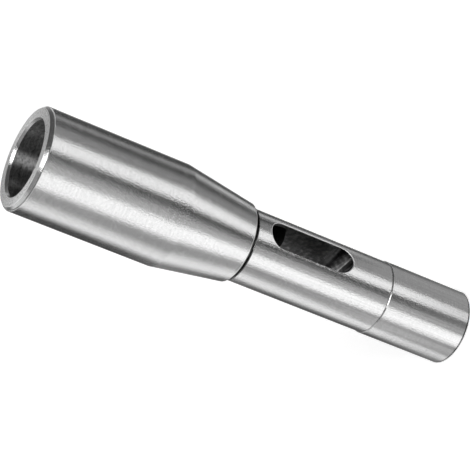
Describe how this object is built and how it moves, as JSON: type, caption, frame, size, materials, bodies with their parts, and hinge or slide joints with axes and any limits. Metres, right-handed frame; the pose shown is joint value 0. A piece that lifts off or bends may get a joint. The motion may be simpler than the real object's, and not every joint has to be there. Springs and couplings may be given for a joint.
{
  "type": "morse taper sleeve",
  "caption": "Turned steel sleeve with a Morse taper socket in its head, a long cone down to a slotted neck for a drift key, and a ground straight shank.",
  "frame": {"origin": "centre of the end face of the shank, on the axis of the sleeve", "axes": "+Z along the axis, from the shank's end face towards the mouth of the socket; the drift slot runs through the neck along Y; the sleeve stands on its shank"},
  "size_m": [0.0326, 0.0326, 0.15],
  "materials": {
    "steel": "turned and ground, satin, with fine marks round the axis"
  },
  "bodies": {
    "root": {"sleeve": "steel"}
  },
  "joints": []
}
